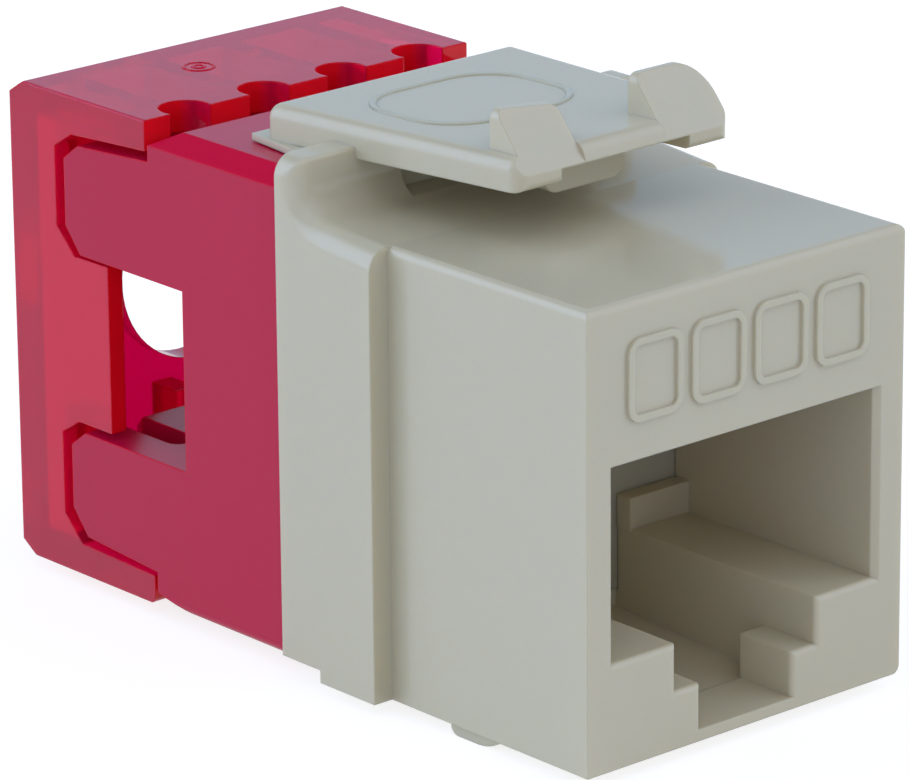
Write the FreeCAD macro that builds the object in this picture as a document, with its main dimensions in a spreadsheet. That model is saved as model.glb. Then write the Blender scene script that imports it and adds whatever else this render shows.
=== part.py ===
import FreeCAD, Part
import math
import os
import re

# Keystone jack: a snap-in 8P8C socket with insulation-displacement terminals at the rear.
# Frame while drawing: X across, Y from the socket's face to the rear, Z up from the nose's underside.
# The finished nodes are moved so that the origin lies under the middle of the whole jack.
# All sizes are in millimetres.

SIZES = {
    # nose and panel flange of the front housing
    "nose_width": 14.5,
    "nose_height": 16.15,
    "nose_depth": 9.85,
    "flange_width": 16.1,
    "flange_thickness": 2.85,
    "flange_crown": 0.3,
    "skirt_depth": 2.0,
    "skirt_rise": 0.46,
    "corner_radius": 0.8,
    "edge_radius": 0.3,
    # bridge that carries the latch arm
    "bridge_height": 2.3,
    "bridge_thickness": 1.1,
    "bridge_foot_radius": 1.15,
    "bridge_recess_width": 6.8,
    "bridge_recess_depth": 0.5,
    # latch arm
    "arm_root_width": 11.4,
    "arm_tip_width": 9.68,
    "arm_overhang": 3.35,
    "arm_reach": 8.75,
    "arm_height": 1.15,
    "arm_rise": 0.47,
    "arm_plate": 0.65,
    "arm_rail_width": 1.93,
    "arm_gap": 1.7,
    "arm_brow": 0.22,
    "arm_root_corner": 0.45,
    "arm_tip_corner": 0.55,
    "arm_softness": 0.5,
    "arm_swell": 0.1,
    "arm_rib_width": 3.7,
    "arm_rib_drop": 1.1,
    "arm_rib_length": 3.4,
    "arm_rib_setback": 2.05,
    "arm_rib_round": 0.6,
    # upstanding catches at the arm's tip
    "catch_height": 1.35,
    "catch_width": 3.0,
    "catch_depth": 1.9,
    "catch_top": 0.25,
    "catch_round": 1.1,
    "catch_corner": 0.35,
    "catch_inset": 0.42,
    "catch_fall": 0.25,
    "lip_share": 0.47,
    # tongue behind the bridge that snaps over the wire block
    "tongue_flare": 0.5,
    "tongue_length": 4.0,
    # fixed catch under the nose
    "nub_width": 14.0,
    "nub_height": 0.5,
    "nub_length": 2.8,
    "nub_setback": 4.3,
    "nub_ramp": 1.0,
    "nub_round": 0.35,
    # plug socket
    "socket_width": 12.0,
    "socket_height": 6.9,
    "socket_floor": 3.75,
    "socket_depth": 9.9,
    "mouth_chamfer": 0.22,
    "mouth_softness": 0.2,
    "latch_way_width": 6.5,
    "latch_mouth_width": 4.24,
    "latch_shelf": 2.05,
    "latch_shelf_depth": 2.55,
    "latch_floor": 0.42,
    "latch_floor_rise": 0.3,
    "stop_width": 2.8,
    "stop_height": 1.15,
    "stop_depth": 0.7,
    "wire_bay_width": 8.4,
    "wire_bay_height": 1.1,
    "wire_bay_front": 1.8,
    # raised blank tiles over the socket
    "tile_count": 4,
    "tile_width": 2.45,
    "tile_height": 2.9,
    "tile_pitch": 2.85,
    "tile_line": 0.26,
    "tile_corner": 0.55,
    "tile_relief": 0.12,
    "tile_root": 0.2,
    # pocket behind the socket
    "pocket_width": 13.4,
    "pocket_floor": 1.35,
    "pocket_roof": 0.75,
    # contact carrier and spring contacts
    "carrier_depth": 3.15,
    "contact_count": 8,
    "contact_pitch": 1.016,
    "contact_section": 0.34,
    "contact_level": 11.2,
    "contact_front": 2.2,
    "contact_turn": 1.2,
    "contact_bend": 0.5,
    "contact_tip_level": 8.3,
    "contact_tip_depth": 10.5,
    "comb_slot_width": 0.56,
    "comb_slot_depth": 0.9,
    "comb_slot_floor": 7.6,
    # circuit board
    "board_thickness": 1.2,
    "wire_hole_radius": 0.3,
    "tail_hole_radius": 0.45,
    # insulation-displacement housing
    "idc_width": 14.9,
    "idc_floor": 0.12,
    "idc_top_step": 1.45,
    "idc_block_depth": 5.8,
    "idc_bevel": 0.7,
    "idc_bevel_drop": 0.57,
    "idc_front_round": 0.35,
    "sole_round": 0.3,
    "lip_slope": 1.15,
    "sole_bevel": 2.0,
    "sole_bevel_rise": 0.4,
    "spigot_length": 1.5,
    "spigot_wall": 0.5,
    "tower_length": 6.5,
    "tower_chamfer": 0.8,
    "tower_nose": 0.6,
    "tower_heel": 0.95,
    "tower_draft": 0.28,
    "tower_headroom": 0.3,
    "tower_footroom": 0.12,
    "window_height": 6.35,
    "deck_fall": 0.28,
    "wire_count": 4,
    "wire_pitch": 3.58,
    "wire_slot_width": 1.15,
    "wire_slot_depth": 4.1,
    "wire_slot_mouth": 0.35,
    "wire_slot_flare": 0.7,
    # terminals
    "blade_width": 2.4,
    "blade_thickness": 0.45,
    "blade_length": 5.6,
    "blade_setback": 0.15,
    "blade_slot": 0.32,
    "blade_slot_depth": 3.3,
    "blade_mouth": 0.5,
    "tail_width": 0.55,
    "blade_turn": 45.0,
    "row_offset": 5.0,
    # rear cap
    "cap_step": 0.29,
    "cap_sole_step": 0.1,
    "cap_length": 7.63,
    "cap_wall": 0.65,
    "cap_plate": 1.15,
    "cap_rear_wall": 1.15,
    "cap_rear_room": 3.03,
    "cap_tab_setback": 2.25,
    "cap_bevel": 0.78,
    "cap_bevel_drop": 0.5,
    "cap_softness": 0.08,
    "cap_front_round": 0.35,
    "cap_lip_gap": 0.15,
    "cap_side_gap": 0.35,
    "cap_tongue_gap": 0.5,
    "notch_radius": 0.95,
    "notch_setback": 0.3,
    "cable_hole": 7.0,
    "cable_rise": 0.65,
    "rib_width": 0.9,
    "rib_height": 1.4,
    "rib_length": 4.2,
    "rib_back_height": 3.0,
    # fits, and how far a tool runs past what it cuts
    "fit": 0.05,
    "overlap": 0.1,
    # lengths closer than this count as equal
    "closeness": 0.0001,
}

# Places that follow from the sizes, as expressions.
PLACES = {
    "flange_back": "nose_depth + flange_thickness",
    "housing_back": "flange_back + skirt_depth",
    "bridge_top": "nose_height + bridge_height",
    "bridge_front": "housing_back - bridge_thickness",
    "arm_back": "housing_back + arm_overhang",
    "arm_front": "housing_back - arm_reach",
    "arm_under_back": "nose_height + arm_gap",
    "arm_under_front": "arm_under_back + arm_rise",
    "arm_top_back": "arm_under_back + arm_height + arm_swell",
    "arm_top_front": "arm_under_front + arm_height",
    "arm_half": "arm_tip_width / 2",
    "arm_root_half": "arm_root_width / 2",
    "channel_half": "arm_half - arm_rail_width",
    "rib_front": "arm_front + arm_rib_setback",
    "catch_back": "arm_front + catch_depth",
    "catch_tip": "arm_top_front + catch_height",
    "catch_foot": "arm_under_front + arm_height / 2",
    "lip_level": "arm_under_front + lip_share * arm_height",
    "nub_back": "nub_setback + nub_length",
    "socket_half": "socket_width / 2",
    "socket_ceiling": "socket_floor + socket_height",
    "latch_half": "latch_way_width / 2",
    "tile_centre": "(socket_ceiling + nose_height) / 2",
    "pocket_front": "socket_depth",
    "pocket_ceiling": "nose_height - pocket_roof",
    "pocket_half": "pocket_width / 2",
    "idc_front": "housing_back + fit",
    "idc_top": "nose_height + idc_top_step",
    "idc_half": "idc_width / 2",
    "spigot_front": "idc_front - spigot_length",
    "carrier_back": "pocket_front + fit + carrier_depth",
    "board_front": "carrier_back + fit",
    "board_back": "board_front + board_thickness",
    "board_half": "pocket_half - spigot_wall - 3 * fit",
    "board_floor": "pocket_floor + spigot_wall + 3 * fit",
    "board_top": "pocket_ceiling - spigot_wall - 3 * fit",
    "block_back": "idc_front + idc_block_depth",
    "tower_back": "block_back + tower_length",
    "cap_back": "tower_back + cap_rear_room",
    "cap_front": "cap_back - cap_length",
    "cap_inner_back": "cap_back - cap_rear_wall",
    "cap_half": "idc_half",
    "cap_floor": "idc_floor - cap_sole_step",
    "cap_top": "idc_top + cap_step",
    "cap_roof": "cap_top - cap_plate",
    "cap_deck": "cap_floor + cap_plate",
    "lip_back": "cap_front - cap_lip_gap",
    "middle_level": "(cap_floor + cap_top) / 2",
    "window_floor": "middle_level - window_height / 2",
    "window_top": "middle_level + window_height / 2",
    "tower_root_high": "cap_roof - tower_headroom",
    "tower_root_low": "cap_deck + tower_footroom",
    "tower_high": "tower_root_high - tower_draft",
    "tower_low": "tower_root_low + tower_draft",
    "deck_level": "window_floor - deck_fall",
    "wire_bottom": "tower_back - wire_slot_depth",
    "slot_half": "wire_slot_width / 2",
    "blade_front": "block_back + blade_setback",
    "blade_back": "blade_front + blade_length",
    "upper_row": "middle_level + row_offset",
    "lower_row": "middle_level - row_offset",
    "cable_level": "middle_level + cable_rise",
    "middle_y": "(cap_back - tile_relief) / 2",
}

WORD = re.compile(r"[a-z][a-z_0-9]*")
AXES = {"x": FreeCAD.Vector(1, 0, 0), "y": FreeCAD.Vector(0, 1, 0), "z": FreeCAD.Vector(0, 0, 1)}
# Each drawing plane: how its sketch is turned, and the axis that it is extruded along.
PLANES = {
    "xy": (FreeCAD.Rotation(), "z"),
    "xz": (FreeCAD.Rotation(AXES["x"], 90), "y"),
    "yz": (FreeCAD.Rotation(FreeCAD.Vector(1, 1, 1), 120), "x"),
}

doc = FreeCAD.newDocument("keystone_jack")
sheet = doc.addObject("Spreadsheet::Sheet", "sizes")
for row, (name, value) in enumerate(SIZES.items(), start=1):
    sheet.set(f"A{row}", name)
    sheet.set(f"B{row}", str(value))
    sheet.setAlias(f"B{row}", name)
doc.recompute()


def bound(text):
    """Turn the names in an expression into references to the sheet."""
    def swap(match):
        word = match.group()
        if word in SIZES:
            return f"sizes.{word}"
        if word in PLACES:
            return f"({bound(PLACES[word])})"
        return word
    return WORD.sub(swap, str(text))


def number(text):
    """Work out an expression now, as a plain number."""
    return float(sheet.evalExpression(bound(text)))


def box(name, x, y, z):
    """A block between two expressions along each axis."""
    solid = doc.addObject("Part::Box", name)
    for axis, side, (low, high) in zip("xyz", ("Length", "Width", "Height"), (x, y, z)):
        solid.setExpression(side, bound(f"({high}) - ({low})"))
        solid.setExpression(f"Placement.Base.{axis}", bound(low))
    return solid


def wide(name, width, y, z):
    """A block of a given width, centred across the jack."""
    return box(name, (f"-({width}) / 2", f"({width}) / 2"), y, z)


def rod(name, radius, centre, axis, low, high):
    """A cylinder along Y or Z between two expressions."""
    solid = doc.addObject("Part::Cylinder", name)
    solid.setExpression("Radius", bound(radius))
    solid.setExpression("Height", bound(f"({high}) - ({low})"))
    if axis == "y":
        solid.Placement.Rotation = FreeCAD.Rotation(AXES["x"], -90)
        base = (centre[0], low, centre[1])
    else:
        base = (centre[0], centre[1], low)
    for letter, text in zip("xyz", base):
        solid.setExpression(f"Placement.Base.{letter}", bound(text))
    return solid


def unit(start, end):
    return (end - start).normalize()


def outline_edges(corners):
    """Lines and tangent arcs through corners of (point, radius)."""
    entries, exits, edges = [], [], []
    count = len(corners)
    for index, (point, radius) in enumerate(corners):
        before = unit(point, corners[index - 1][0])
        after = unit(point, corners[(index + 1) % count][0])
        if radius <= 0:
            entries.append(point)
            exits.append(point)
            continue
        half = before.getAngle(after) / 2
        reach = radius / math.tan(half)
        centre = point + (before + after).normalize() * (radius / math.sin(half))
        start, end = point + before * reach, point + after * reach
        entries.append(start)
        exits.append(end)
        middle = centre + unit(centre, point) * radius
        edges.append(Part.Arc(start, middle, end))
    for index in range(count):
        start, end = exits[index], entries[(index + 1) % count]
        if start.distanceToPoint(end) > number("closeness"):
            edges.append(Part.LineSegment(start, end))
    return edges


def prism(name, plane, corners, low, high):
    """Extrude a closed outline, given as (a, b) or (a, b, radius) expressions, from low to high."""
    turn, axis = PLANES[plane]
    sketch = doc.addObject("Sketcher::SketchObject", f"{name}_outline")
    sketch.Placement.Rotation = turn
    points = []
    for corner in corners:
        a, b, radius = (tuple(corner) + ("0",))[:3]
        points.append((FreeCAD.Vector(number(a), number(b), 0), number(radius)))
    sketch.addGeometry(outline_edges(points), False)
    sketch.setExpression(f"Placement.Base.{axis}", bound(low))
    solid = doc.addObject("Part::Extrusion", name)
    solid.Base = sketch
    solid.DirMode = "Custom"
    solid.Dir = AXES[axis]
    solid.Solid = True
    solid.setExpression("LengthFwd", bound(f"({high}) - ({low})"))
    return solid


def strip(path, thickness):
    """The closed outline of a bent strip along (a, b, bend radius) corners."""
    half = number(thickness) / 2
    line = [FreeCAD.Vector(number(a), number(b), 0) for a, b, bend in path]
    bends = [number(bend) for a, b, bend in path]
    sides = []
    for sign in (1, -1):
        side = []
        for index, point in enumerate(line):
            if index == 0:
                along = unit(line[0], line[1])
                offset = FreeCAD.Vector(-along.y, along.x, 0) * half
                radius = 0.0
            elif index == len(line) - 1:
                along = unit(line[-2], line[-1])
                offset = FreeCAD.Vector(-along.y, along.x, 0) * half
                radius = 0.0
            else:
                ahead, behind = unit(point, line[index + 1]), unit(line[index - 1], point)
                first = FreeCAD.Vector(-behind.y, behind.x, 0)
                second = FreeCAD.Vector(-ahead.y, ahead.x, 0)
                offset = (first + second) * (half / (1 + first.dot(second)))
                turn = behind.x * ahead.y - behind.y * ahead.x
                radius = bends[index] - math.copysign(half, turn) * sign
            side.append((point + offset * sign, radius))
        sides.append(side)
    corners = sides[0] + sides[1][::-1]
    return [(repr(point.x), repr(point.y), repr(radius)) for point, radius in corners]


def fuse(name, pieces):
    union = doc.addObject("Part::MultiFuse", name)
    union.Shapes = pieces
    union.Refine = True
    return union


def cut(name, base, tools):
    """Take one or more tools away from a base."""
    tool = tools[0] if len(tools) == 1 else fuse(f"{name}_tools", tools)
    result = doc.addObject("Part::Cut", name)
    result.Base = base
    result.Tool = tool
    result.Refine = True
    return result


def meet(name, first, second):
    common = doc.addObject("Part::Common", name)
    common.Base = first
    common.Tool = second
    common.Refine = True
    return common


def soften(name, base, radius, wanted, kind="Part::Fillet"):
    """Round or chamfer the straight edges whose middle point passes a test."""
    doc.recompute()
    edges = []
    size = number(radius)
    for index, edge in enumerate(base.Shape.Edges, start=1):
        ends = [vertex.Point for vertex in edge.Vertexes]
        if len(ends) < 2 or not near(edge.Length, ends[0].distanceToPoint(ends[1])):
            continue
        middle = edge.valueAt((edge.FirstParameter + edge.LastParameter) / 2)
        if wanted(middle, edge.tangentAt(edge.FirstParameter)):
            edges.append((index, size, size))
    smooth = doc.addObject(kind, name)
    smooth.Base = base
    smooth.Edges = edges
    return smooth


def near(value, wanted):
    """Whether a length equals an expression or another length."""
    return abs(value - number(wanted)) < number("closeness")


def finish(node, label):
    """Name a node and move it to the jack's own origin."""
    node.Label = label
    node.setExpression("Placement.Base.y", bound("-middle_y"))
    node.setExpression("Placement.Base.z", bound("nub_height"))
    return node


def latch_arm():
    """The springy arm: a tapered channel that rises to two leaning catches."""
    root = [("-arm_root_half", "arm_back", "arm_root_corner"),
            ("arm_root_half", "arm_back", "arm_root_corner / 2")]
    taper = prism("arm_taper", "xy", root + [("arm_half", "arm_front"), ("-arm_half", "arm_front")],
                  "nose_height", "catch_tip")
    side = prism("arm_side", "yz", [
        ("arm_back", "arm_under_back"), ("arm_back", "arm_top_back"),
        ("arm_front + arm_brow", "arm_top_front", "arm_softness"), ("arm_front", "lip_level"),
        ("arm_front", "arm_under_front", "arm_softness / 2"),
    ], "-arm_root_width", "arm_root_width")
    pieces = [soften("arm_bar", meet("arm_block", taper, side), "arm_softness", on_arm_top)]
    tools = []
    for label, inner, outer, fall, bend in (
            ("left", "catch_width - arm_half", "catch_inset - arm_half", "catch_fall", "catch_corner"),
            ("right", "arm_half - catch_width", "arm_half", "0", "catch_round")):
        pieces.append(prism(f"catch_{label}", "xz", [
            (inner, "catch_foot"), (outer, "catch_foot"),
            (outer, "catch_tip", bend), (inner, f"catch_tip - {fall}", "catch_corner"),
        ], "arm_front", "catch_back"))
        tools.append(prism(f"catch_lean_{label}", "yz", [
            ("arm_front - overlap", "lip_level"), ("arm_front", "lip_level"),
            ("catch_back - catch_top", "catch_tip"), ("catch_back - catch_top", "catch_tip + overlap"),
            ("arm_front - overlap", "catch_tip + overlap"),
        ], inner, f"3 * ({outer}) - 2 * ({inner})"))
    plan = prism("arm_plan", "xy", root + [("arm_half", "arm_front", "arm_tip_corner"),
                                           ("-arm_half", "arm_front", "arm_tip_corner")],
                 "nose_height", "catch_tip + overlap")
    tools.append(prism("arm_hollow", "yz", [
        ("bridge_front - bridge_recess_depth", "arm_under_back - bridge_height"),
        ("bridge_front - bridge_recess_depth", "arm_top_back - arm_plate", "edge_radius"),
        ("arm_front - overlap", "arm_top_front - arm_plate"),
        ("arm_front - overlap", "arm_under_back - bridge_height"),
    ], "-channel_half", "channel_half"))
    rib = prism("arm_rib", "xz", [
        ("-arm_rib_width / 2", "arm_top_back - arm_plate / 2"),
        ("-arm_rib_width / 2", "arm_under_front - arm_rib_drop", "arm_rib_round"),
        ("arm_rib_width / 2", "arm_under_front - arm_rib_drop", "arm_rib_round"),
        ("arm_rib_width / 2", "arm_top_back - arm_plate / 2"),
    ], "rib_front", "rib_front + arm_rib_length")
    whole = meet("arm_in_plan", fuse("arm_with_catches", pieces), plan)
    return fuse("latch_arm", [cut("arm_channel", whole, tools), rib])


def on_arm_top(at, along):
    """The long edge of the arm's top face on the side that the thumb presses."""
    slope = number("(arm_top_front - arm_top_back) / (arm_back - arm_front - arm_brow)")
    level = number("arm_top_back") + slope * (number("arm_back") - at.y)
    lengthwise = abs(along.y) > abs(along.x)
    return near(at.z, level) and lengthwise and at.x < 0


def socket_tools():
    """Everything that is open from the front: plug socket, latch way and the contacts' bay."""
    mouth = prism("socket_mouth", "xy", [
        ("-(socket_half + mouth_chamfer + overlap)", "-overlap"),
        ("socket_half + mouth_chamfer + overlap", "-overlap"),
        ("socket_half", "mouth_chamfer"), ("socket_half", "socket_depth + overlap"),
        ("-socket_half", "socket_depth + overlap"), ("-socket_half", "mouth_chamfer"),
    ], "socket_floor", "socket_ceiling")
    way = prism("latch_way", "yz", [
        ("latch_shelf_depth", "latch_floor - overlap"),
        ("socket_depth + overlap", "latch_floor + latch_floor_rise"),
        ("socket_depth + overlap", "socket_floor + overlap"), ("latch_shelf_depth", "socket_floor + overlap"),
    ], "-latch_half", "latch_half")
    step = wide("latch_step", "latch_way_width", ("-overlap", "latch_shelf_depth + overlap"),
                ("latch_shelf", "socket_floor + overlap"))
    mouth_way = wide("latch_mouth", "latch_mouth_width", ("-overlap", "latch_shelf_depth + overlap"),
                     ("latch_floor", "latch_shelf + overlap"))
    bay = wide("wire_bay", "wire_bay_width", ("wire_bay_front", "socket_depth + overlap"),
               ("socket_ceiling - overlap", "socket_ceiling + wire_bay_height"))
    return [mouth, way, step, mouth_way, bay]


def blank_tiles():
    """A row of plain raised outlines over the socket."""
    tiles = []
    for index in range(int(number("tile_count"))):
        middle = f"({index} - (tile_count - 1) / 2) * tile_pitch"
        rings = []
        for label, inset, depth in (("outer", "0", "tile_root"), ("inner", "tile_line", "2 * tile_root")):
            half_width = f"(tile_width / 2 - {inset})"
            half_height = f"(tile_height / 2 - {inset})"
            bend = f"tile_corner - {inset}"
            rings.append(prism(f"tile_{label}_{index}", "xz", [
                (f"{middle} - {half_width}", f"tile_centre - {half_height}", bend),
                (f"{middle} + {half_width}", f"tile_centre - {half_height}", bend),
                (f"{middle} + {half_width}", f"tile_centre + {half_height}", bend),
                (f"{middle} - {half_width}", f"tile_centre + {half_height}", bend),
            ], "-tile_relief", depth))
        tiles.append(cut(f"tile_{index}", rings[0], [rings[1]]))
    return tiles


def front_housing():
    """Grey moulding: nose with the socket, panel flange, bridge and latch arm in one piece."""
    nose = wide("nose", "nose_width", ("0", "nose_depth + overlap"), ("0", "nose_height"))
    nose = soften("nose_soft", nose, "edge_radius", on_nose)
    frame = prism("flange_and_bridge", "yz", [
        ("nose_depth", "0"), ("flange_back", "0"), ("flange_back", "skirt_rise"),
        ("housing_back", "skirt_rise"), ("housing_back", "bridge_top"),
        ("bridge_front", "bridge_top", "edge_radius / 2"),
        ("bridge_front", "nose_height + flange_crown", "bridge_foot_radius"),
        ("nose_depth", "nose_height"),
    ], "-flange_width / 2", "flange_width / 2")
    frame = soften("frame_soft", frame, "corner_radius", on_bridge_top)
    recess = wide("bridge_recess", "bridge_recess_width",
                  ("flange_back", "bridge_front + bridge_recess_depth"),
                  ("nose_height + flange_crown", "arm_under_back"))
    frame = cut("frame_recessed", frame, [recess])
    tongue = prism("snap_tongue", "xy", [
        ("-(arm_root_half + tongue_flare)", "housing_back - tongue_flare"),
        ("arm_root_half + tongue_flare", "housing_back - tongue_flare"),
        ("arm_root_half", "housing_back + tongue_length"), ("-arm_root_half", "housing_back + tongue_length"),
    ], "idc_top + fit", "arm_under_back + fit")
    nub = prism("fixed_catch", "yz", [
        ("nub_setback", "nub_height"), ("nub_setback", "0"),
        ("nub_setback + nub_ramp", "-nub_height", "2 * nub_ramp"),
        ("nub_back", "-nub_height", "nub_round"), ("nub_back", "nub_height"),
    ], "-nub_width / 2", "nub_width / 2")
    solid = fuse("housing_solid", [nose, frame, tongue, nub, latch_arm()] + blank_tiles())
    pocket = wide("rear_pocket", "pocket_width", ("pocket_front", "housing_back + overlap"),
                  ("pocket_floor", "pocket_ceiling"))
    opened = cut("housing_open", solid, socket_tools() + [pocket])
    opened = soften("housing_mouth", opened, "mouth_softness", on_mouth_ledges)
    stops = []
    for label, low, high in (("left", "-socket_half - overlap", "stop_width - socket_half"),
                             ("right", "socket_half - stop_width", "socket_half + overlap")):
        stops.append(box(f"plug_stop_{label}", (low, high), ("socket_depth - stop_depth", "socket_depth"),
                         ("socket_floor - overlap", "socket_floor + stop_height")))
    return finish(fuse("front_housing_solid", [opened] + stops), "front_housing")


def on_nose(at, along):
    """The nose's long edges and its front top edge; the long edge at the parting line stays sharp."""
    parting = near(at.z, "0") and at.x < 0
    return (near(abs(along.y), "1") and not parting) or (near(at.y, "0") and near(at.z, "nose_height"))


def on_bridge_top(at, along):
    return near(abs(along.y), "1") and near(at.z, "bridge_top")


def on_mouth_ledges(at, along):
    """The stepped front edges of the socket's floor and latch way, which a plug slides over."""
    level = number("latch_floor") < at.z < number("socket_floor") + number("fit")
    return near(at.y, "0") and level and abs(at.x) < number("socket_half")


def contact_x(index):
    return f"({index} - (contact_count - 1) / 2) * contact_pitch"


def contact_carrier():
    """Comb block that closes the rear of the socket and holds the spring contacts."""
    block = wide("carrier_block", "pocket_width - 2 * fit", ("pocket_front + fit", "carrier_back"),
                 ("pocket_floor + fit", "pocket_ceiling - fit"))
    tools = []
    bore = "(contact_section / 2 + fit)"
    for index in range(int(number("contact_count"))):
        middle = contact_x(index)
        low, high = f"{middle} - comb_slot_width / 2", f"{middle} + comb_slot_width / 2"
        tools.append(box(f"comb_slot_{index}", (low, high),
                         ("pocket_front", "pocket_front + fit + comb_slot_depth"),
                         ("comb_slot_floor", "contact_level")))
        tools.append(box(f"wire_groove_{index}", (f"{middle} - {bore}", f"{middle} + {bore}"),
                         ("pocket_front", "carrier_back + overlap"),
                         (f"contact_level - {bore}", f"contact_level + {bore}")))
    return finish(cut("carrier", block, tools), "contact_carrier")


def spring_contact(index):
    """One gold-plated wire: straight through the carrier, round a bend and back down to its comb slot."""
    path = [
        ("board_back", "contact_level", "0"),
        ("contact_front", "contact_level", "contact_bend"),
        ("contact_front", "contact_level - contact_turn", "contact_bend"),
        ("contact_tip_depth", "contact_tip_level", "0"),
    ]
    middle = contact_x(index)
    wire = prism(f"contact_{index + 1}_wire", "yz", strip(path, "contact_section"),
                 f"{middle} - contact_section / 2", f"{middle} + contact_section / 2")
    return finish_copy(wire, f"contact_{index + 1}")


def finish_copy(solid, label):
    """Carry a single feature as a node of its own, so that its own placement stays free."""
    holder = doc.addObject("Part::Compound", f"{label}_node")
    holder.Links = [solid]
    return finish(holder, label)


def wire_columns():
    """The wire positions across the jack."""
    return [f"({index} - (wire_count - 1) / 2) * wire_pitch" for index in range(int(number("wire_count")))]


def terminal_sites():
    """The eight terminals: the row's level and the column, lower row first."""
    return [(row, column) for row in ("lower_row", "upper_row") for column in wire_columns()]


def circuit_board():
    board = box("board_blank", ("-board_half", "board_half"), ("board_front", "board_back"),
                ("board_floor", "board_top"))
    through = ("board_front - overlap", "board_back + overlap")
    holes = []
    for index in range(int(number("contact_count"))):
        centre = (contact_x(index), "contact_level")
        holes.append(rod(f"wire_hole_{index}", "wire_hole_radius", centre, "y", *through))
    for index, (row, column) in enumerate(terminal_sites()):
        holes.append(rod(f"tail_hole_{index}", "tail_hole_radius", (column, row), "y", *through))
    return finish(cut("board", board, holes), "circuit_board")


def blade_profile():
    """Fork of a terminal: a slotted blade with a straight tail."""
    half, slot, bottom = "blade_width / 2", "blade_slot / 2", "blade_back - blade_slot_depth"
    return [
        ("-tail_width / 2", "board_front"), ("tail_width / 2", "board_front"),
        ("tail_width / 2", "blade_front"), (half, "blade_front"),
        (half, "blade_back"), (f"{slot} + blade_mouth", "blade_back"),
        (slot, "blade_back - blade_mouth"), (slot, bottom),
        (f"-{slot}", bottom), (f"-{slot}", "blade_back - blade_mouth"),
        (f"-{slot} - blade_mouth", "blade_back"), (f"-{half}", "blade_back"),
        (f"-{half}", "blade_front"), ("-tail_width / 2", "blade_front"),
    ]


def turned(solid, name, column, row):
    """Turn a flat piece about the jack's length and set it at one wire position."""
    holder = doc.addObject("Part::Compound", name)
    holder.Links = [solid]
    holder.Placement.Rotation = FreeCAD.Rotation(AXES["y"], number("blade_turn"))
    holder.setExpression("Placement.Base.x", bound(column))
    holder.setExpression("Placement.Base.z", bound(row))
    return holder


def terminal(index, row, column):
    blade = prism(f"blade_{index + 1}", "xy", blade_profile(), "-blade_thickness / 2", "blade_thickness / 2")
    stood = turned(blade, f"blade_{index + 1}_stood", column, row)
    return finish_copy(stood, f"idc_terminal_{index + 1}")


def blade_seat(index, row, column):
    """The slit and the tail bore that one terminal is pushed into."""
    flat = ("-blade_thickness / 2 - fit", "blade_thickness / 2 + fit")
    slit = prism(f"slit_{index}", "xy", [
        ("-blade_width / 2 - fit", "blade_front - fit"), ("blade_width / 2 + fit", "blade_front - fit"),
        ("blade_width / 2 + fit", "tower_back + overlap"), ("-blade_width / 2 - fit", "tower_back + overlap"),
    ], *flat)
    bore = prism(f"tail_bore_{index}", "xy", [
        ("-tail_width / 2 - fit", "board_back - overlap"), ("tail_width / 2 + fit", "board_back - overlap"),
        ("tail_width / 2 + fit", "blade_front + overlap"), ("-tail_width / 2 - fit", "blade_front + overlap"),
    ], *flat)
    return turned(fuse(f"blade_seat_{index}", [slit, bore]), f"blade_seat_{index}_stood", column, row)


def wire_slots():
    """Open-ended slots with flared mouths, one for each wire in each row of towers."""
    slots = []
    for index, column in enumerate(wire_columns()):
        left, right = f"{column} - slot_half", f"{column} + slot_half"
        for label, low, high in (("low", "tower_root_low - overlap", "deck_level + overlap"),
                                 ("high", "window_top - overlap", "tower_root_high")):
            slots.append(prism(f"wire_slot_{label}_{index}", "xy", [
                (left, "wire_bottom", "slot_half - fit"), (right, "wire_bottom", "slot_half - fit"),
                (right, "tower_back - wire_slot_flare"),
                (f"{right} + wire_slot_mouth", "tower_back + fit"),
                (f"{left} - wire_slot_mouth", "tower_back + fit"), (left, "tower_back - wire_slot_flare"),
            ], low, high))
    return slots


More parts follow.
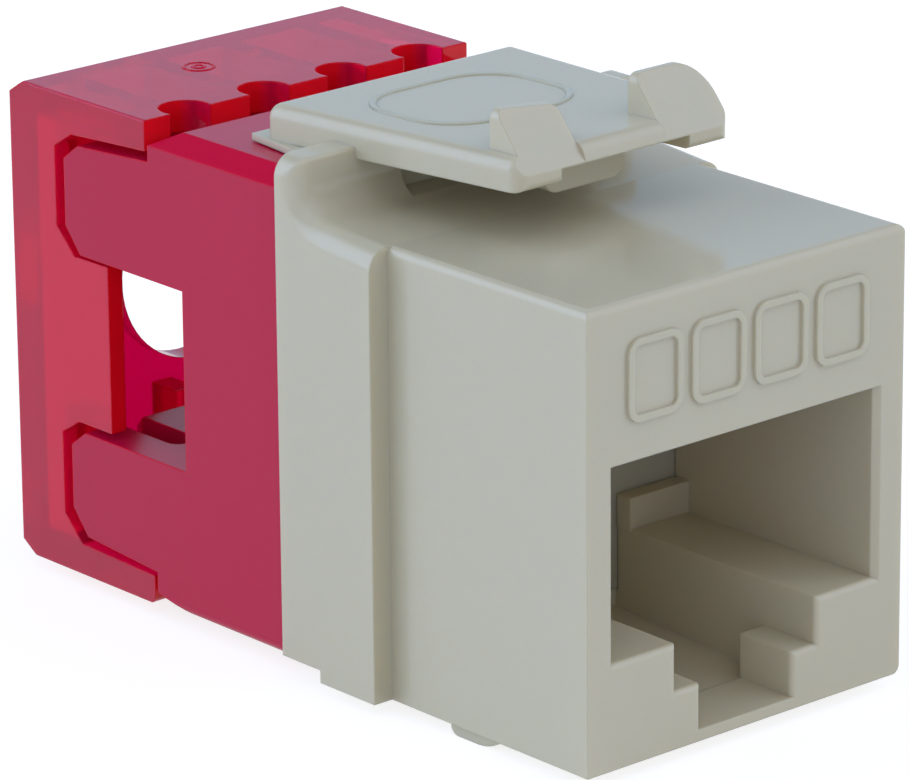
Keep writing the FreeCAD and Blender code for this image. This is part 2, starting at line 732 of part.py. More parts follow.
def idc_housing():
    """Red moulding: a block with a spigot in front and two rows of slotted wire towers behind."""
    side = prism("idc_side", "yz", [
        ("idc_front", "idc_floor"), ("lip_back - sole_bevel", "idc_floor"),
        ("lip_back", "idc_floor + sole_bevel_rise"), ("lip_back", "tower_root_low"),
        ("tower_back - tower_chamfer", "tower_low"), ("tower_back", "tower_low + tower_heel"),
        ("tower_back", "deck_level - tower_nose"), ("tower_back - tower_chamfer", "deck_level"),
        ("block_back", "deck_level"), ("block_back", "window_top"),
        ("tower_back - tower_chamfer", "window_top"), ("tower_back", "window_top + tower_heel"),
        ("tower_back", "tower_high - tower_nose"), ("tower_back - tower_chamfer", "tower_high"),
        ("lip_back", "tower_root_high"), ("lip_back", "idc_top - idc_bevel_drop"),
        ("lip_back - lip_slope", "idc_top"), ("idc_front", "idc_top"),
    ], "-idc_half", "idc_half")
    section = prism("idc_section", "xz", [
        ("-idc_half", "idc_floor", "sole_round"), ("idc_half", "idc_floor", "sole_round"),
        ("idc_half", "idc_top - idc_bevel_drop"), ("idc_half - idc_bevel", "idc_top"),
        ("-(idc_half - idc_bevel)", "idc_top"), ("-idc_half", "idc_top - idc_bevel_drop"),
    ], "idc_front", "tower_back")
    plan = prism("idc_plan", "xy", [
        ("-idc_half", "idc_front", "idc_front_round"), ("idc_half", "idc_front", "idc_front_round"),
        ("idc_half", "tower_back"), ("-idc_half", "tower_back"),
    ], "idc_floor", "idc_top")
    block = meet("idc_block", meet("idc_profile", side, section), plan)
    spigot = wide("spigot", "pocket_width - 2 * fit", ("spigot_front", "idc_front + overlap"),
                  ("pocket_floor + fit", "pocket_ceiling - fit"))
    tools = [box("board_pocket", ("-board_half - fit", "board_half + fit"),
                 ("spigot_front - overlap", "board_back + fit"), ("board_floor - fit", "board_top + fit"))]
    tools += wire_slots()
    tools += [blade_seat(index, row, column) for index, (row, column) in enumerate(terminal_sites())]
    return finish(cut("idc_body", fuse("idc_solid", [block, spigot]), tools), "idc_housing")


def tongue_window(name, tower, under, over):
    """The gap in the cap's side walls round one row of towers: the row's side outline, drawn larger."""
    root_low, low, high, root_high = tower
    chamfer, reach = f"(tower_chamfer + {over} / 2)", "(tower_back + cap_tongue_gap)"
    return prism(name, "yz", [
        ("cap_front - overlap", f"{root_low} - {under} / 2"),
        (f"{reach} - {chamfer}", f"{low} - {under}"),
        (reach, f"{low} - {under} + tower_heel"), (reach, f"{high} + {over} - tower_nose"),
        (f"{reach} - {chamfer}", f"{high} + {over}"), ("cap_front - overlap", f"{root_high} + {over}"),
    ], "-idc_width", "idc_width")


def rear_cap():
    """Clear red cap: a hood over the wire towers, with wire notches, pressing ribs and the cable entry."""
    side = prism("cap_side", "yz", [
        ("cap_front", "cap_floor", "cap_front_round"), ("cap_back - cap_bevel", "cap_floor"),
        ("cap_back", "cap_floor + cap_bevel_drop"), ("cap_back", "cap_top - cap_bevel_drop"),
        ("cap_back - cap_bevel", "cap_top"), ("cap_front", "cap_top"),
    ], "-cap_half", "cap_half")
    section = prism("cap_section", "xz", [
        ("-cap_half", "cap_floor", "cap_softness"), ("cap_half", "cap_floor", "cap_softness"),
        ("cap_half", "cap_top", "cap_softness"), ("-cap_half", "cap_top", "cap_softness"),
    ], "cap_front", "cap_back")
    hood = meet("cap_hood", side, section)
    inside = wide("cap_inside", "idc_width - 2 * cap_wall", ("cap_front - overlap", "cap_inner_back"),
                  ("cap_deck", "cap_roof"))
    tools = [
        inside,
        tongue_window("upper_tongue_gap", ("window_top", "window_top", "tower_high", "tower_root_high"),
                      "cap_side_gap / 3", "cap_side_gap"),
        tongue_window("lower_tongue_gap", ("tower_root_low", "tower_low", "deck_level", "deck_level"),
                      "cap_side_gap", "cap_side_gap"),
        box("side_tab_setback", ("-idc_width", "idc_width"),
            ("cap_front - overlap", "cap_front + cap_tab_setback"), ("deck_level", "window_top")),
        rod("cable_entry", "cable_hole / 2", ("0", "cable_level"), "y",
            "cap_inner_back - overlap", "cap_back + overlap"),
    ]
    for index, column in enumerate(wire_columns()):
        centre = (column, "cap_front + notch_setback")
        for label, low, high in (("low", "cap_floor - overlap", "cap_deck + overlap"),
                                 ("high", "cap_roof - overlap", "cap_top + overlap")):
            tools.append(rod(f"notch_{label}_{index}", "notch_radius", centre, "z", low, high))
    return finish(fuse("cap_solid", [cut("cap_shell", hood, tools)] + pressing_ribs()), "rear_cap")


def pressing_ribs():
    """Ribs inside the cap that push the wires down their slots, with shallow webs on the rear wall."""
    ribs = []
    rib = ("cap_inner_back - rib_length", "cap_inner_back + overlap")
    web = ("tower_back + cap_tongue_gap", "cap_inner_back + overlap")
    for index, column in enumerate(wire_columns()):
        across = (f"{column} - rib_width / 2", f"{column} + rib_width / 2")
        ribs.append(box(f"rib_low_{index}", across, rib,
                        ("cap_deck - overlap", "cap_deck + rib_height")))
        ribs.append(box(f"rib_high_{index}", across, rib,
                        ("cap_roof - rib_height", "cap_roof + overlap")))
        ribs.append(box(f"web_low_{index}", across, web,
                        ("cap_deck - overlap", "cap_deck + rib_height + rib_back_height")))
        ribs.append(box(f"web_high_{index}", across, web,
                        ("cap_roof - rib_height - rib_back_height / 2", "cap_roof + overlap")))
    return ribs


nodes = [front_housing(), contact_carrier(), circuit_board(), idc_housing(), rear_cap()]
for contact in range(int(number("contact_count"))):
    nodes.append(spring_contact(contact))
for site, (row_level, column_x) in enumerate(terminal_sites()):
    nodes.append(terminal(site, row_level, column_x))
doc.recompute()

for item in doc.Objects:
    if "Invalid" in item.State or "Error" in item.State:
        raise RuntimeError(f"{item.Name} did not rebuild: {item.State}")

os.makedirs("parts", exist_ok=True)
for node in nodes:
    if node.Shape.isNull() or not node.Shape.isValid():
        raise RuntimeError(f"{node.Label} is not a valid solid")
    node.Shape.exportStep(f"parts/{node.Label}.step")
    print(node.Label, "solids", len(node.Shape.Solids), "volume", round(node.Shape.Volume, 2))
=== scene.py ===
# %% [markdown]
# # A keystone jack
#
# A keystone jack is the socket behind a network wall plate. A grey front moulding holds the plug
# and snaps into the plate, and a clear red block behind it grips the eight wires of the cable.
# The solid parts come ready made in a shared frame. This lesson gives each of them the finish that
# its plastic or metal has, adds the fine relief of the moulds, and lights the jack like a small
# product on a white table.

# %% Load the frame
import math
import bmesh
import bpy
from mathutils import Matrix, Vector


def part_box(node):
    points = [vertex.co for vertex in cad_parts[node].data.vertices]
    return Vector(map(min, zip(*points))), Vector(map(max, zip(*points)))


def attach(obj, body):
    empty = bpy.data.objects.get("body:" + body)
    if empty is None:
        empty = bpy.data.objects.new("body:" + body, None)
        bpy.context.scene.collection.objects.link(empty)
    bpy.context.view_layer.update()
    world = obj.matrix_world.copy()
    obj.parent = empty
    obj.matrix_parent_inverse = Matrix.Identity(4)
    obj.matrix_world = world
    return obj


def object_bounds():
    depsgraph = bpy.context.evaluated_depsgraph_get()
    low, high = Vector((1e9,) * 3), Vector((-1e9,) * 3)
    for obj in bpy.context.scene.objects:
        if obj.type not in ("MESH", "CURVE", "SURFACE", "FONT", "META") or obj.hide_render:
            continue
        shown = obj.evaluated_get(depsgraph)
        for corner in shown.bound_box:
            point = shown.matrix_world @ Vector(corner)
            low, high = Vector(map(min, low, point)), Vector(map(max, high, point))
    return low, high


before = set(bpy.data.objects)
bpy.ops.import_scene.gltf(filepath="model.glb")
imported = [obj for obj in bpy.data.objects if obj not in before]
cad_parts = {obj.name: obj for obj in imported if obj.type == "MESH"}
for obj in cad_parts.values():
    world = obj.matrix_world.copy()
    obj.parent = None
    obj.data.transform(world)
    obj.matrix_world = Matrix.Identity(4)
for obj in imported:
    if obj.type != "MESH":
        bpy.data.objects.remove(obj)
solid_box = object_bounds()
low, high = Vector(solid_box[0]), Vector(solid_box[1])
MM = 0.001

# %% [markdown]
# ## Colours
#
# Colours are easiest to pick as the hex codes that a paint program shows. Those codes are sRGB,
# while Blender's shaders count light, so each one is turned to linear first. One function does it.

# %% Hex colours to linear light
def paint(code):
    """A colour such as '#C8CAC2' as linear red, green, blue and full alpha."""
    channels = [int(code[i:i + 2], 16) / 255 for i in (1, 3, 5)]
    linear = [c / 12.92 if c <= 0.04045 else ((c + 0.055) / 1.055) ** 2.4 for c in channels]
    return (*linear, 1.0)


print("mid grey becomes", round(paint("#808080")[0], 3))

# %% [markdown]
# ## Adding shader nodes
#
# A material is a small graph. Writing each node in one statement keeps the graph readable: its
# kind, the numbers it is set to, and what is plugged into it. Most sockets go by name. A Mix node
# has several of the same name, so its colour sockets go by number.

# %% One function for every node
MIX_A, MIX_B, MIX_RESULT = 6, 7, 2


def add_node(graph, kind, settings=None, plugs=None):
    """Add a node, set its options and sockets, and plug other nodes' outputs into it."""
    node = graph.nodes.new(kind)
    for name, value in (settings or {}).items():
        if isinstance(name, str) and hasattr(node, name):
            setattr(node, name, value)
        else:
            node.inputs[name].default_value = value
    for name, output in (plugs or {}).items():
        graph.links.new(output, node.inputs[name])
    return node


def new_graph(name):
    """An empty material and its node graph."""
    material = bpy.data.materials.new(name)
    material.use_nodes = True
    material.node_tree.nodes.clear()
    return material, material.node_tree


print("node helper ready")

# %% [markdown]
# ## Soft edges
#
# No moulded edge is perfectly sharp: the steel of the mould leaves a radius of about a tenth of a
# millimetre, and that small round is what catches the light. Bevelling the mesh would do it, but
# these solids are shared with other tools and stay as they are. The Bevel node rounds only the
# shading: it looks for faces within a short distance and turns the normal towards them. How far
# it turned also says how near an edge is, which is useful as a mask.

# %% Rounded shading near the edges
EDGE_ROUND_MM = 0.1


def soft_edges(graph):
    """The rounded normal, and a mask that is 1 on an edge and 0 on a flat face."""
    bevel = add_node(graph, "ShaderNodeBevel", {"samples": 4, "Radius": EDGE_ROUND_MM * MM})
    flat = add_node(graph, "ShaderNodeNewGeometry")
    turn = add_node(graph, "ShaderNodeVectorMath", {"operation": "DOT_PRODUCT"},
                    {0: bevel.outputs["Normal"], 1: flat.outputs["Normal"]})
    mask = add_node(graph, "ShaderNodeMapRange", {"From Min": 0.995, "From Max": 0.85},
                    {"Value": turn.outputs["Value"]})
    return bevel.outputs["Normal"], mask.outputs["Result"]


print("edges are shaded with a radius of", EDGE_ROUND_MM, "mm")

# %% [markdown]
# ## Grey ABS housing
#
# The front housing is injection-moulded ABS. The steel mould is lightly spark-eroded, which leaves
# a fine satin grain of about a tenth of a millimetre, and the plastic itself is a little milky, so
# light that enters it comes out again nearby. Subsurface scattering gives that milkiness. The
# colour is a little warm: one bounce hardly shows it, but light that bounces from wall to wall
# inside the socket loses more blue each time, and the deep corners turn brown as they do on the
# real thing. The same grain breaks up the colour and the gloss very slightly. An image of the
# grain would do too, but noise has no seams and keeps its real size on every face.

# %% Grey moulded ABS
ABS_GREY, ABS_SPECK = "#CFC5A6", "#CCC2A2"
ABS_IOR, ABS_SHINE = 1.53, 0.42
SATIN = (0.1, 0.14)
GRAIN_MM, GRAIN_DEPTH_MM = 0.12, 0.02
MILK = {"Subsurface Weight": 0.3, "Subsurface Radius": (1.0, 0.6, 0.3),
        "Subsurface Scale": 0.8 * MM}


def moulded_abs():
    """Satin grey ABS with the grain of a spark-eroded mould."""
    material, graph = new_graph("grey_moulded_abs")
    place = add_node(graph, "ShaderNodeTexCoord")
    grain = add_node(graph, "ShaderNodeTexNoise",
                     {"Scale": 1 / (GRAIN_MM * MM), "Detail": 2.0, "Roughness": 0.6},
                     {"Vector": place.outputs["Object"]})
    gloss = add_node(graph, "ShaderNodeMapRange", {"To Min": SATIN[0], "To Max": SATIN[1]},
                     {"Value": grain.outputs["Fac"]})
    colour = add_node(graph, "ShaderNodeMix",
                      {"data_type": "RGBA", MIX_A: paint(ABS_GREY), MIX_B: paint(ABS_SPECK)},
                      {"Factor": grain.outputs["Fac"]})
    rounded, _ = soft_edges(graph)
    relief = add_node(graph, "ShaderNodeBump", {"Strength": 0.04, "Distance": GRAIN_DEPTH_MM * MM},
                      {"Height": grain.outputs["Fac"], "Normal": rounded})
    shader = add_node(graph, "ShaderNodeBsdfPrincipled",
                      {"IOR": ABS_IOR, "Specular IOR Level": ABS_SHINE, **MILK},
                      {"Base Color": colour.outputs[MIX_RESULT],
                       "Roughness": gloss.outputs["Result"], "Normal": relief.outputs["Normal"]})
    add_node(graph, "ShaderNodeOutputMaterial", {}, {"Surface": shader.outputs["BSDF"]})
    return material


housing_finish = moulded_abs()
print("made", housing_finish.name)

# %% [markdown]
# ## Painted glow where light leaves the red plastic
#
# The wire block and its cap are clear plastic, and light that enters it runs along inside the
# walls. It comes out where a wall stops: on the edges, on the slanting faces between side and top,
# and on the open front end of the cap. Those places are painted with a glow, a purer red than the
# broad faces, mixed into their colour. Tracing every such path would take very many samples, so
# masks mark the places for the painted glow instead. They use the object's own directions and
# depth, so the painted glow stays put from every side, also when the cap slides off.

# %% Masks for the painted glow
END_FADE_MM = 0.4


def painted_glow_masks(graph, place, edge, open_end, painted_bevel_glow):
    """Masks of the edges and bevels that are painted with a red glow, and of those with the wall's
    open end.
    """
    facing = add_node(graph, "ShaderNodeSeparateXYZ", {}, {"Vector": place.outputs["Normal"]})
    slant = add_node(graph, "ShaderNodeMath", {"operation": "MULTIPLY"},
                     {0: facing.outputs["X"], 1: facing.outputs["Z"]})
    bevel = add_node(graph, "ShaderNodeMapRange",
                     {"From Min": -0.25, "From Max": -0.45, "To Max": painted_bevel_glow},
                     {"Value": slant.outputs["Value"]})
    painted_glow_and_dull_edge = add_node(graph, "ShaderNodeMath", {"operation": "MAXIMUM"},
                        {0: edge, 1: bevel.outputs["Result"]})
    forward = add_node(graph, "ShaderNodeMapRange", {"From Min": -0.6, "From Max": -0.9},
                       {"Value": facing.outputs["Y"]})
    depth = add_node(graph, "ShaderNodeSeparateXYZ", {}, {"Vector": place.outputs["Object"]})
    near_end = add_node(graph, "ShaderNodeMapRange",
                        {"From Min": open_end + END_FADE_MM * MM, "From Max": open_end},
                        {"Value": depth.outputs["Y"]})
    # The open end of a wall is masked for the painted glow as well.
    painted_end_glow = add_node(graph, "ShaderNodeMath", {"operation": "MULTIPLY"},
                        {0: forward.outputs["Result"], 1: near_end.outputs["Result"]})
    painted_glow = add_node(graph, "ShaderNodeMath", {"operation": "MAXIMUM"},
                       {0: painted_glow_and_dull_edge.outputs["Value"], 1: painted_end_glow.outputs["Value"]})
    return painted_glow_and_dull_edge.outputs["Value"], painted_glow.outputs["Value"]


print("the glow of an open end fades over", END_FADE_MM, "mm")

# %% [markdown]
# ## Clear red polycarbonate
#
# Both red parts are polycarbonate dyed red. The dye takes green out within half a millimetre and
# blue within two or three, and leaves red nearly alone. A thin wall with light behind it is
# therefore hot pink, a thick one pure red. Volume absorption works this out from the real
# thickness of the solid, so it needs no painting by hand. The slots, ribs and blades inside throw
# much of the light back before it has crossed the part. Modelling each of those paths isn't
# needed: a cloudy shader stands for the light that comes back, a glassy one for the light that
# goes through, and the share of each is one number. Moulded faces are never quite flat, and a
# slow wave bends what they mirror.
#
# Solid polycarbonate has an index of 1.585. These mouldings shine less than a polished face would,
# so their shine is turned down, and most of all on the edges with the painted glow.

# %% Red polycarbonate
DYE, DYE_PER_MM = "#FE00EA", 5.0
# The next red is a painted glow: the pure red that edges, bevels and the cap's open end are painted
# with, in place of light leaving the plastic there.
PAINTED_GLOW_RED = "#F60E20"
CLOUDY_IOR, CLEAR_IOR = 1.585, 1.46
FACE_SHINE, EDGE_SHINE, CLEAR_SHINE = 0.2, 0.03, 0.25
# How strongly the slanting bevels are painted with the glow.
PAINTED_BEVEL_GLOW = 0.25
CLEAR_ON_EDGES = 0.3
HAZE_MM, HAZE_SPREAD = 3.0, 0.05
WAVE_MM, WAVE_DEPTH_MM = 2.2, 0.05


def red_polycarbonate(name, scatter, tint, clear, roughness, open_end, painted_bevel_glow):
    """Dyed polycarbonate: `scatter` comes back from inside, `tint` and `clear` say what passes."""
    material, graph = new_graph(name)
    place = add_node(graph, "ShaderNodeTexCoord")
    haze = add_node(graph, "ShaderNodeTexNoise", {"Scale": 1 / (HAZE_MM * MM), "Detail": 2.0},
                    {"Vector": place.outputs["Object"]})
    gloss = add_node(graph, "ShaderNodeMapRange", {"To Min": roughness * (1 - HAZE_SPREAD),
                                                   "To Max": roughness * (1 + HAZE_SPREAD)},
                     {"Value": haze.outputs["Fac"]})
    wave = add_node(graph, "ShaderNodeTexNoise", {"Scale": 1 / (WAVE_MM * MM), "Detail": 1.0},
                    {"Vector": place.outputs["Object"]})
    rounded, edge = soft_edges(graph)
    wavy = add_node(graph, "ShaderNodeBump", {"Strength": 0.25, "Distance": WAVE_DEPTH_MM * MM},
                    {"Height": wave.outputs["Fac"], "Normal": rounded})
    painted_glow_and_dull_edge, painted_glow = painted_glow_masks(graph, place, edge, open_end, painted_bevel_glow)
    shine = add_node(graph, "ShaderNodeMapRange",
                     {"From Max": PAINTED_BEVEL_GLOW, "To Min": FACE_SHINE, "To Max": EDGE_SHINE},
                     {"Value": painted_glow_and_dull_edge})
    # Painted glow: on the masked edges, bevels and open end the colour is mixed towards a pure red
    # that stands for light leaving the plastic.
    colour = add_node(graph, "ShaderNodeMix",
                      {"data_type": "RGBA", MIX_A: paint(scatter), MIX_B: paint(PAINTED_GLOW_RED)},
                      {"Factor": painted_glow})
    surface = {"Roughness": gloss.outputs["Result"], "Normal": wavy.outputs["Normal"]}
    cloudy = add_node(graph, "ShaderNodeBsdfPrincipled", {"IOR": CLOUDY_IOR},
                      {"Base Color": colour.outputs[MIX_RESULT],
                       "Specular IOR Level": shine.outputs["Result"], **surface})
    glassy = add_node(graph, "ShaderNodeBsdfPrincipled",
                      {"Base Color": paint(tint), "IOR": CLEAR_IOR,
                       "Specular IOR Level": CLEAR_SHINE, "Transmission Weight": 1.0}, surface)
    # Where the glow is painted, less of the light passes through.
    share = add_node(graph, "ShaderNodeMapRange",
                     {"To Min": clear, "To Max": clear * CLEAR_ON_EDGES}, {"Value": painted_glow})
    mixed = add_node(graph, "ShaderNodeMixShader", {},
                     {"Fac": share.outputs["Result"], 1: cloudy.outputs["BSDF"],
                      2: glassy.outputs["BSDF"]})
    dye = add_node(graph, "ShaderNodeVolumeAbsorption",
                   {"Color": paint(DYE), "Density": DYE_PER_MM / MM})
    add_node(graph, "ShaderNodeOutputMaterial", {},
             {"Surface": mixed.outputs["Shader"], "Volume": dye.outputs["Volume"]})
    return material


print("green is down to", round(100 * math.exp(-DYE_PER_MM / 2), 1), "% after half a millimetre")

# %% [markdown]
# ## The wire block and its cap
#
# The block is nearly opaque and a little matt, and its bevels are painted with a red glow. The cap
# is mostly clear and shiny, so that the towers show through it. Its front steps back round each
# wire notch, so every face that points forward within the first 2.5 mm counts as its open end and
# is painted with the glow too.

# %% Finishes of the block and the cap
OPEN_END_MM = 2.5
block_finish = red_polycarbonate("red_polycarbonate_block", "#C80E40", "#FF50B0", 0.04, 0.2,
                                 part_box("idc_housing")[0][1], PAINTED_BEVEL_GLOW)
cap_finish = red_polycarbonate("red_polycarbonate_cap", "#FF1A58", "#FF10A0", 0.6, 0.07,
                               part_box("rear_cap")[0][1] + OPEN_END_MM * MM, 0.0)
print("made", block_finish.name, "and", cap_finish.name)

# %% [markdown]
# ## The inner parts
#
# The comb that holds the contacts is white nylon, the contacts are bronze wire with a flash of
# gold, the terminals are tinned bronze, and the board is glass-filled epoxy under green mask.
# They show only in the depth of the socket and between the towers, so one recipe serves all four:
# a base colour, the typical gloss of the material, and a faint mottling of that gloss.

# %% Nylon, gold, tin and board
MOTTLE_MM = 0.8


def plain_finish(name, colour, rough, settings):
    """A finish with a faint mottling of its gloss, which every real surface has."""
    material, graph = new_graph(name)
    place = add_node(graph, "ShaderNodeTexCoord")
    mottle = add_node(graph, "ShaderNodeTexNoise", {"Scale": 1 / (MOTTLE_MM * MM), "Detail": 2.0},
                      {"Vector": place.outputs["Object"]})
    gloss = add_node(graph, "ShaderNodeMapRange", {"To Min": rough * 0.85, "To Max": rough * 1.2},
                     {"Value": mottle.outputs["Fac"]})
    shader = add_node(graph, "ShaderNodeBsdfPrincipled", {"Base Color": paint(colour), **settings},
                      {"Roughness": gloss.outputs["Result"]})
    add_node(graph, "ShaderNodeOutputMaterial", {}, {"Surface": shader.outputs["BSDF"]})
    return material


nylon = plain_finish("moulded_nylon", "#B9B39C", 0.5,
                     {"Subsurface Weight": 0.2, "Subsurface Scale": 0.8 * MM})
gold = plain_finish("gold_flash", "#E8B85A", 0.2, {"Metallic": 1.0})
tin = plain_finish("tinned_bronze", "#C9C8C4", 0.32, {"Metallic": 1.0})
solder_mask = plain_finish("green_solder_mask", "#1F5A33", 0.35, {})
print("made", nylon.name, gold.name, tin.name, solder_mask.name)

# %% [markdown]
# ## Dressing the solids
#
# Each solid of the jack is one moulding, wire or blade, so each takes a single finish over its
# whole surface. The eight contacts share one, and so do the eight terminals: a name without its
# number says which finish the solid takes.

# %% Dress the solids
FINISH_OF = {"front_housing": housing_finish, "idc_housing": block_finish, "rear_cap": cap_finish,
             "contact_carrier": nylon, "circuit_board": solder_mask, "contact": gold,
             "idc_terminal": tin}
for name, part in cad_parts.items():
    part.data.materials.clear()
    part.data.materials.append(FINISH_OF[name.rstrip("_0123456789")])
print("dressed", len(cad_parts), "solids")

# %% [markdown]
# ## Raised lines on the mouldings
#
# Moulders engrave fine lines into the steel, and they stand up on the plastic by a twentieth of a
# millimetre. One function makes them all: it walks along a closed path, drops each point onto the
# solid below with a ray, and stands a small half-round section on it. A curve object with a bevel
# could do the same, but a mesh gives a section that is flatter than it is wide. The section's feet
# are sunk a little, so that no gap shows under them.

# %% A half-round line that follows a surface
SECTION_STEPS = 6
SUNK_SHARE = 0.3


def line_section(part, at, along, width_mm, rise_mm):
    """Points of one half-round section across the line at `at`, standing on the solid."""
    points = []
    for step in range(SECTION_STEPS + 1):
        angle = math.pi * step / SECTION_STEPS
        aside = math.cos(angle) * width_mm * MM / 2
        above = Vector((at[0] - along.y * aside, at[1] + along.x * aside, high.z + MM))
        _, ground, _, _ = part.ray_cast(above, Vector((0, 0, -1)))
        lift = (math.sin(angle) * (1 + SUNK_SHARE) - SUNK_SHARE) * rise_mm * MM
        points.append((above.x, above.y, ground.z + lift))
    return points


def raised_line(name, path, width_mm, rise_mm, node, body):
    """A closed raised line along `path` (x, y in metres) on the top of a solid."""
    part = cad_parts[node]
    mesh = bmesh.new()
    rings = []
    for index, at in enumerate(path):
        before, after = path[index - 1], path[(index + 1) % len(path)]
        along = Vector((after[0] - before[0], after[1] - before[1])).normalized()
        rings.append([mesh.verts.new(point)
                      for point in line_section(part, at, along, width_mm, rise_mm)])
    for ring, following in zip(rings, rings[1:] + rings[:1]):
        for one, two in zip(range(SECTION_STEPS), range(1, SECTION_STEPS + 1)):
            mesh.faces.new((ring[one], following[one], following[two], ring[two]))
        mesh.faces.new((ring[SECTION_STEPS], following[SECTION_STEPS], following[0], ring[0]))
    bmesh.ops.recalc_face_normals(mesh, faces=mesh.faces)
    data = bpy.data.meshes.new(name)
    mesh.to_mesh(data)
    mesh.free()
    data.polygons.foreach_set("use_smooth", [True] * len(data.polygons))
    data.materials.append(part.data.materials[0])
    piece = bpy.data.objects.new(name, data)
    bpy.context.collection.objects.link(piece)
    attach(piece, body)
    print(name, "has", len(data.polygons), "faces and rides", body)


print("a raised line has", SECTION_STEPS, "faces across")

# %% [markdown]
# ## A rounded outline
#
# Both marks on the jack are rectangles with round corners, and a circle is one whose corners take
# up its sides. The outline is a plain list of points, four quarter circles one after another.

# %% Rounded rectangle
CORNER_STEPS = 12


def rounded_rectangle(middle, width_mm, depth_mm, corner_mm):
    """Points round a rectangle with quarter-circle corners."""
    points = []
    for quarter, (side_x, side_y) in enumerate(((1, 1), (-1, 1), (-1, -1), (1, -1))):
        centre_x = middle[0] + side_x * (width_mm / 2 - corner_mm) * MM
        centre_y = middle[1] + side_y * (depth_mm / 2 - corner_mm) * MM
        for step in range(CORNER_STEPS + 1):
            angle = math.pi / 2 * (quarter + step / CORNER_STEPS)
            points.append((centre_x + math.cos(angle) * corner_mm * MM,
                           centre_y + math.sin(angle) * corner_mm * MM))
    return points


print("an outline has", len(rounded_rectangle((0, 0), 4, 4, 1)), "points")

# %% [markdown]
# ## Thumb pad of the latch arm
#
# The top of the latch arm is pressed with a thumb. A plain rounded frame marks the place. It is
# set out from the front face of the nose, which the raised tiles over the socket stand proud of.

# %% Frame on the latch arm
TILE_RISE_MM = 0.12
NOSE_FRONT = low.y + TILE_RISE_MM * MM
PAD_MIDDLE = (-0.5 * MM, NOSE_FRONT + 13.2 * MM)
PAD_WIDTH, PAD_DEPTH, PAD_CORNER = 6.4, 5.4, 2.0
PAD_LINE, PAD_RISE = 0.3, 0.07
raised_line("thumb_pad_frame", rounded_rectangle(PAD_MIDDLE, PAD_WIDTH, PAD_DEPTH, PAD_CORNER),
            PAD_LINE, PAD_RISE, "front_housing", "jack")

# %% [markdown]
# ## Gate mark of the cap
#
# The melt enters the cap's mould through a pin gate on its top. Where the sprue breaks off it
# leaves a small crater with a rim. Two round lines, one inside the other, give that form.

# %% Gate mark
GATE = (-1.7 * MM, NOSE_FRONT + 26.5 * MM)
GATE_RINGS = {"rim": 1.1, "pip": 0.4}
GATE_LINE, GATE_RISE = 0.16, 0.03
LEAST_SIDE = 0.001  # millimetres, and enough to keep the points of two corners apart
for label, across in GATE_RINGS.items():
    raised_line(f"gate_mark_{label}",
                rounded_rectangle(GATE, across, across, across / 2 - LEAST_SIDE),
                GATE_LINE, GATE_RISE, "rear_cap", "cap")

# %% [markdown]
# ## White table
#
# The jack stands on a smooth white card. A white thing under plain light renders as a pale grey,
# and more light would burn out the jack. So the card is a matt white for the light that it throws
# back onto the jack, while the rays that show it, straight, mirrored or through the clear cap,
# meet a darker card with a glow of its own. Both together come out white where nothing shades the
# card, and the darker card still takes the jack's soft shadow.

# %% White card under the jack
CARD_WHITE, CARD_SHADED, CARD_GLOW = "#F4F4F4", "#989898", 0.82


def white_card():
    """A matt white card that also looks white where nothing shades it."""
    material, graph = new_graph("white_card")
    card = add_node(graph, "ShaderNodeBsdfPrincipled",
                    {"Base Color": paint(CARD_WHITE), "Roughness": 0.8})
    shaded = add_node(graph, "ShaderNodeBsdfDiffuse", {"Color": paint(CARD_SHADED)})
    glow = add_node(graph, "ShaderNodeEmission", {"Color": (1, 1, 1, 1), "Strength": CARD_GLOW})
    seen = add_node(graph, "ShaderNodeAddShader", {},
                    {0: shaded.outputs["BSDF"], 1: glow.outputs["Emission"]})
    path = add_node(graph, "ShaderNodeLightPath")
    straight = add_node(graph, "ShaderNodeMath", {"operation": "MAXIMUM"},
                        {0: path.outputs["Is Camera Ray"], 1: path.outputs["Is Transmission Ray"]})
    shows = add_node(graph, "ShaderNodeMath", {"operation": "MAXIMUM"},
                     {0: straight.outputs["Value"], 1: path.outputs["Is Glossy Ray"]})
    either = add_node(graph, "ShaderNodeMixShader", {},
                      {"Fac": shows.outputs["Value"], 1: card.outputs["BSDF"],
                       2: seen.outputs["Shader"]})
    add_node(graph, "ShaderNodeOutputMaterial", {}, {"Surface": either.outputs["Shader"]})
    return material


bpy.ops.mesh.primitive_plane_add(size=2.0, location=(0, 0, low.z))
table = bpy.context.object
table.name = "table"
table.data.materials.append(white_card())
print("the table is", round(table.dimensions.x, 2), "m wide")

# %% [markdown]
# ## Soft light
#
# A small product is lit by large soft panels: they leave no hard shadows, and a shiny plastic
# shows them as broad smooth sheens. Area lamps would serve, but panels painted on the sky of the
# world are cleaner, because their edges can fade as slowly as wanted. Each panel is a round patch:
# the closer a direction is to its middle, the brighter, with a smooth fall to nothing. The panel
# behind the jack is low and bluish, and lies across the top faces as a cool sheen. The others are
# a daylight with some blue in it, which the warm ABS turns to a neutral grey.

# %% Panels round the table
COOL = (0.81, 1.02, 1.48)
SOFT = (1.0, 1.09, 1.36)
SKY = (0.72, 0.95, 1.26)
# Name, compass bearing and height of the middle in degrees, reach at full light and where it ends
# in degrees, strength, colour.
SOFT_BOXES = [
    ("back_left_window", -135, 20, 14, 42, 2.05, COOL),
    ("right_window", 70, 24, 12, 44, 0.7, COOL),
    ("back_right_panel", 139, 17, 16, 38, 0.66, SKY),
    ("front_right_wall", 45, 24, 12, 50, 0.73, SOFT),
    ("front_left_wall", -45, 28, 12, 52, 0.71, SOFT),
    ("ceiling", -20, 80, 14, 45, 0.62, SOFT),
]


def compass(bearing, height):
    """The direction at a bearing round the table, 0 in front of the jack, and a height."""
    turn, lift = math.radians(bearing), math.radians(height)
    return Vector((math.sin(turn) * math.cos(lift), -math.cos(turn) * math.cos(lift),
                   math.sin(lift)))


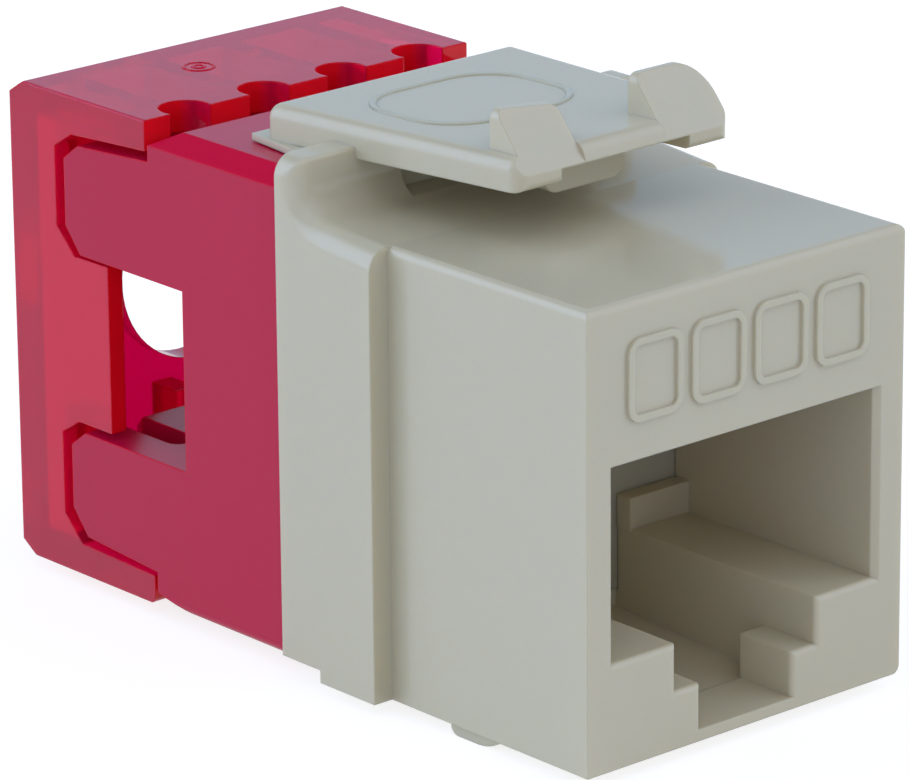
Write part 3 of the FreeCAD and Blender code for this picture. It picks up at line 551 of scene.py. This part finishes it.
def soft_room():
    """A world whose light comes from a few large soft panels."""
    world = bpy.data.worlds.new("soft_room")
    bpy.context.scene.world = world
    world.use_nodes = True
    room = world.node_tree
    room.nodes.clear()
    way = add_node(room, "ShaderNodeTexCoord")
    light = None
    for name, bearing, height, full, end, strength, colour in SOFT_BOXES:
        facing = add_node(room, "ShaderNodeVectorMath",
                          {"operation": "DOT_PRODUCT", 1: compass(bearing, height)},
                          {0: way.outputs["Generated"]})
        fade = add_node(room, "ShaderNodeMapRange", {
            "interpolation_type": "SMOOTHSTEP",
            "From Min": math.cos(math.radians(end)), "From Max": math.cos(math.radians(full)),
            "To Max": strength,
        }, {"Value": facing.outputs["Value"]})
        panel = add_node(room, "ShaderNodeBackground", {"label": name, "Color": (*colour, 1)},
                         {"Strength": fade.outputs["Result"]})
        glow = panel.outputs["Background"]
        if light is None:
            light = glow
        else:
            light = add_node(room, "ShaderNodeAddShader", {}, {0: light, 1: glow}).outputs["Shader"]
    add_node(room, "ShaderNodeOutputWorld", {}, {"Surface": light})


soft_room()
print("lit by", ", ".join(box[0] for box in SOFT_BOXES))

# %% [markdown]
# ## Camera
#
# A small product is taken from some way off with a long lens, so that the far end of the jack
# isn't much smaller than the near one. The camera looks down a little from the front left corner.
# Its direction is turned into three axes by hand, right, up and back, because they then also
# take the slight roll of a camera that wasn't quite level.

# %% Long lens
BEARING, HEIGHT, ROLL = -41.19, 18.6, -0.52
DISTANCE = 0.2173
LENS_MM = 251.112
target = Vector((-2.45 * MM, NOSE_FRONT + 12.0 * MM, low.z + 10.0 * MM))
back = compass(BEARING, HEIGHT)
right = Vector((0, 0, 1)).cross(back).normalized()
turned = Matrix((right, back.cross(right), back)).transposed()
turned = turned @ Matrix.Rotation(math.radians(ROLL), 3, "Z")
lens = bpy.data.cameras.new("long_lens")
lens.lens = LENS_MM
lens.clip_start = 0.01
camera = bpy.data.objects.new("product_camera", lens)
bpy.context.collection.objects.link(camera)
camera.matrix_world = Matrix.Translation(target + back * DISTANCE) @ turned.to_4x4()
bpy.context.scene.camera = camera
bpy.context.scene.view_settings.view_transform = "Standard"
print("the camera stands", round((camera.matrix_world.translation - target).length, 4), "m away")

# %% [markdown]
# ## Sizes
#
# The relief and the finishes must not make the jack larger than its solids. The box round the
# solids was measured at the start, and the height of the solids is printed here.

# %% Print the height of the solids
print("both boxes are written; the solids alone are", round((high.z - low.z) / MM, 2), "mm high")
